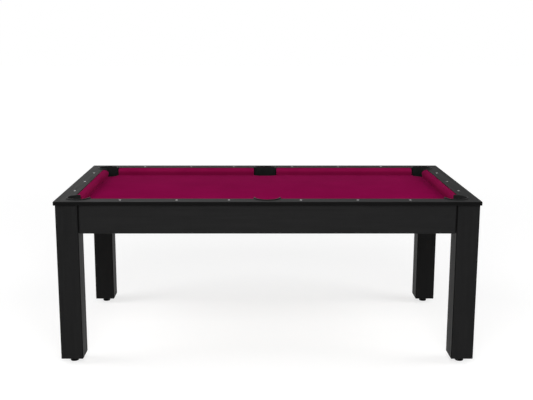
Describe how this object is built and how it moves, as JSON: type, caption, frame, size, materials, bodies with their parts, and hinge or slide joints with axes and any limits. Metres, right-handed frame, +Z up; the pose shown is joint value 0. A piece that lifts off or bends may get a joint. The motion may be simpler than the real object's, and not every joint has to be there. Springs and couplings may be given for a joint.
{
  "type": "convertible pool table",
  "caption": "Pool table at dining height, with flat rails for dining boards, cloth-covered cushions and bed, cup pockets, square legs and screw levelling feet.",
  "frame": {"origin": "on the floor, under the centre of the table", "axes": "+X along the table's length, +Y from the front long side to the back one, +Z up"},
  "size_m": [1.98, 1.08, 0.7953],
  "materials": {
    "black_laminate": "satin black laminate on board",
    "black_plastic": "fine-grained moulded",
    "red_cloth": "napped woven cloth",
    "bed_board": "raw fibreboard",
    "beam_wood": "planed softwood",
    "zinc_steel": "zinc-plated",
    "silver_inlay": "satin"
  },
  "bodies": {
    "root": {"leg_front_left": "black_laminate", "leg_front_right": "black_laminate", "leg_back_left": "black_laminate", "leg_back_right": "black_laminate", "apron_front": "black_laminate", "apron_back": "black_laminate", "apron_left": "black_laminate", "apron_right": "black_laminate", "rail_front": "black_laminate", "rail_back": "black_laminate", "rail_left": "black_laminate", "rail_right": "black_laminate", "cushion_front_left": "red_cloth", "cushion_front_right": "red_cloth", "cushion_back_left": "red_cloth", "cushion_back_right": "red_cloth", "cushion_left": "red_cloth", "cushion_right": "red_cloth", "bed": "bed_board", "bed_cloth": "red_cloth", "bed_beam_1": "beam_wood", "bed_beam_2": "beam_wood", "bed_beam_3": "beam_wood", "bed_beam_4": "beam_wood", "pocket_liner_front_left": "black_plastic", "pocket_liner_front_middle": "black_plastic", "pocket_liner_front_right": "black_plastic", "pocket_liner_back_left": "black_plastic", "pocket_liner_back_middle": "black_plastic", "pocket_liner_back_right": "black_plastic", "leg_bracket_front_left": "zinc_steel", "leg_bracket_front_right": "zinc_steel", "leg_bracket_back_left": "zinc_steel", "leg_bracket_back_right": "zinc_steel", "sight_front_1": "silver_inlay", "sight_front_2": "silver_inlay", "sight_front_3": "silver_inlay", "sight_front_4": "silver_inlay", "sight_front_5": "silver_inlay", "sight_front_6": "silver_inlay", "sight_back_1": "silver_inlay", "sight_back_2": "silver_inlay", "sight_back_3": "silver_inlay", "sight_back_4": "silver_inlay", "sight_back_5": "silver_inlay", "sight_back_6": "silver_inlay", "sight_left_1": "silver_inlay", "sight_left_2": "silver_inlay", "sight_left_3": "silver_inlay", "sight_right_1": "silver_inlay", "sight_right_2": "silver_inlay", "sight_right_3": "silver_inlay"},
    "foot_pad_front_left": {"foot_pad_front_left": "black_plastic"},
    "foot_pad_front_right": {"foot_pad_front_right": "black_plastic"},
    "foot_pad_back_left": {"foot_pad_back_left": "black_plastic"},
    "foot_pad_back_right": {"foot_pad_back_right": "black_plastic"},
    "foot_stud_front_left": {"foot_stud_front_left": "zinc_steel"},
    "foot_stud_front_right": {"foot_stud_front_right": "zinc_steel"},
    "foot_stud_back_left": {"foot_stud_back_left": "zinc_steel"},
    "foot_stud_back_right": {"foot_stud_back_right": "zinc_steel"}
  },
  "joints": [
    {"name": "foot_lift_front_left", "type": "slide", "parent": "root", "child": "foot_pad_front_left", "axis": [0, 0, 1], "range_m": [-0.012, 0.005]},
    {"name": "foot_lift_front_right", "type": "slide", "parent": "root", "child": "foot_pad_front_right", "axis": [0, 0, 1], "range_m": [-0.012, 0.005]},
    {"name": "foot_lift_back_left", "type": "slide", "parent": "root", "child": "foot_pad_back_left", "axis": [0, 0, 1], "range_m": [-0.012, 0.005]},
    {"name": "foot_lift_back_right", "type": "slide", "parent": "root", "child": "foot_pad_back_right", "axis": [0, 0, 1], "range_m": [-0.012, 0.005]},
    {"name": "stud_turn_front_left", "type": "hinge", "parent": "foot_pad_front_left", "child": "foot_stud_front_left", "pos_m": [-0.9295, -0.4745, 0.0143], "axis": [0, 0, 1], "range_deg": [-2881, 1201]},
    {"name": "stud_turn_front_right", "type": "hinge", "parent": "foot_pad_front_right", "child": "foot_stud_front_right", "pos_m": [0.9295, -0.4745, 0.0143], "axis": [0, 0, 1], "range_deg": [-2881, 1201]},
    {"name": "stud_turn_back_left", "type": "hinge", "parent": "foot_pad_back_left", "child": "foot_stud_back_left", "pos_m": [-0.9295, 0.4745, 0.0143], "axis": [0, 0, 1], "range_deg": [-2881, 1201]},
    {"name": "stud_turn_back_right", "type": "hinge", "parent": "foot_pad_back_right", "child": "foot_stud_back_right", "pos_m": [0.9295, 0.4745, 0.0143], "axis": [0, 0, 1], "range_deg": [-2881, 1201]}
  ],
  "couplings": [
    {"joint": "stud_turn_front_left", "follows": "foot_lift_front_left", "rad_per_m": 4188.8},
    {"joint": "stud_turn_front_right", "follows": "foot_lift_front_right", "rad_per_m": 4188.8},
    {"joint": "stud_turn_back_left", "follows": "foot_lift_back_left", "rad_per_m": 4188.8},
    {"joint": "stud_turn_back_right", "follows": "foot_lift_back_right", "rad_per_m": 4188.8}
  ]
}
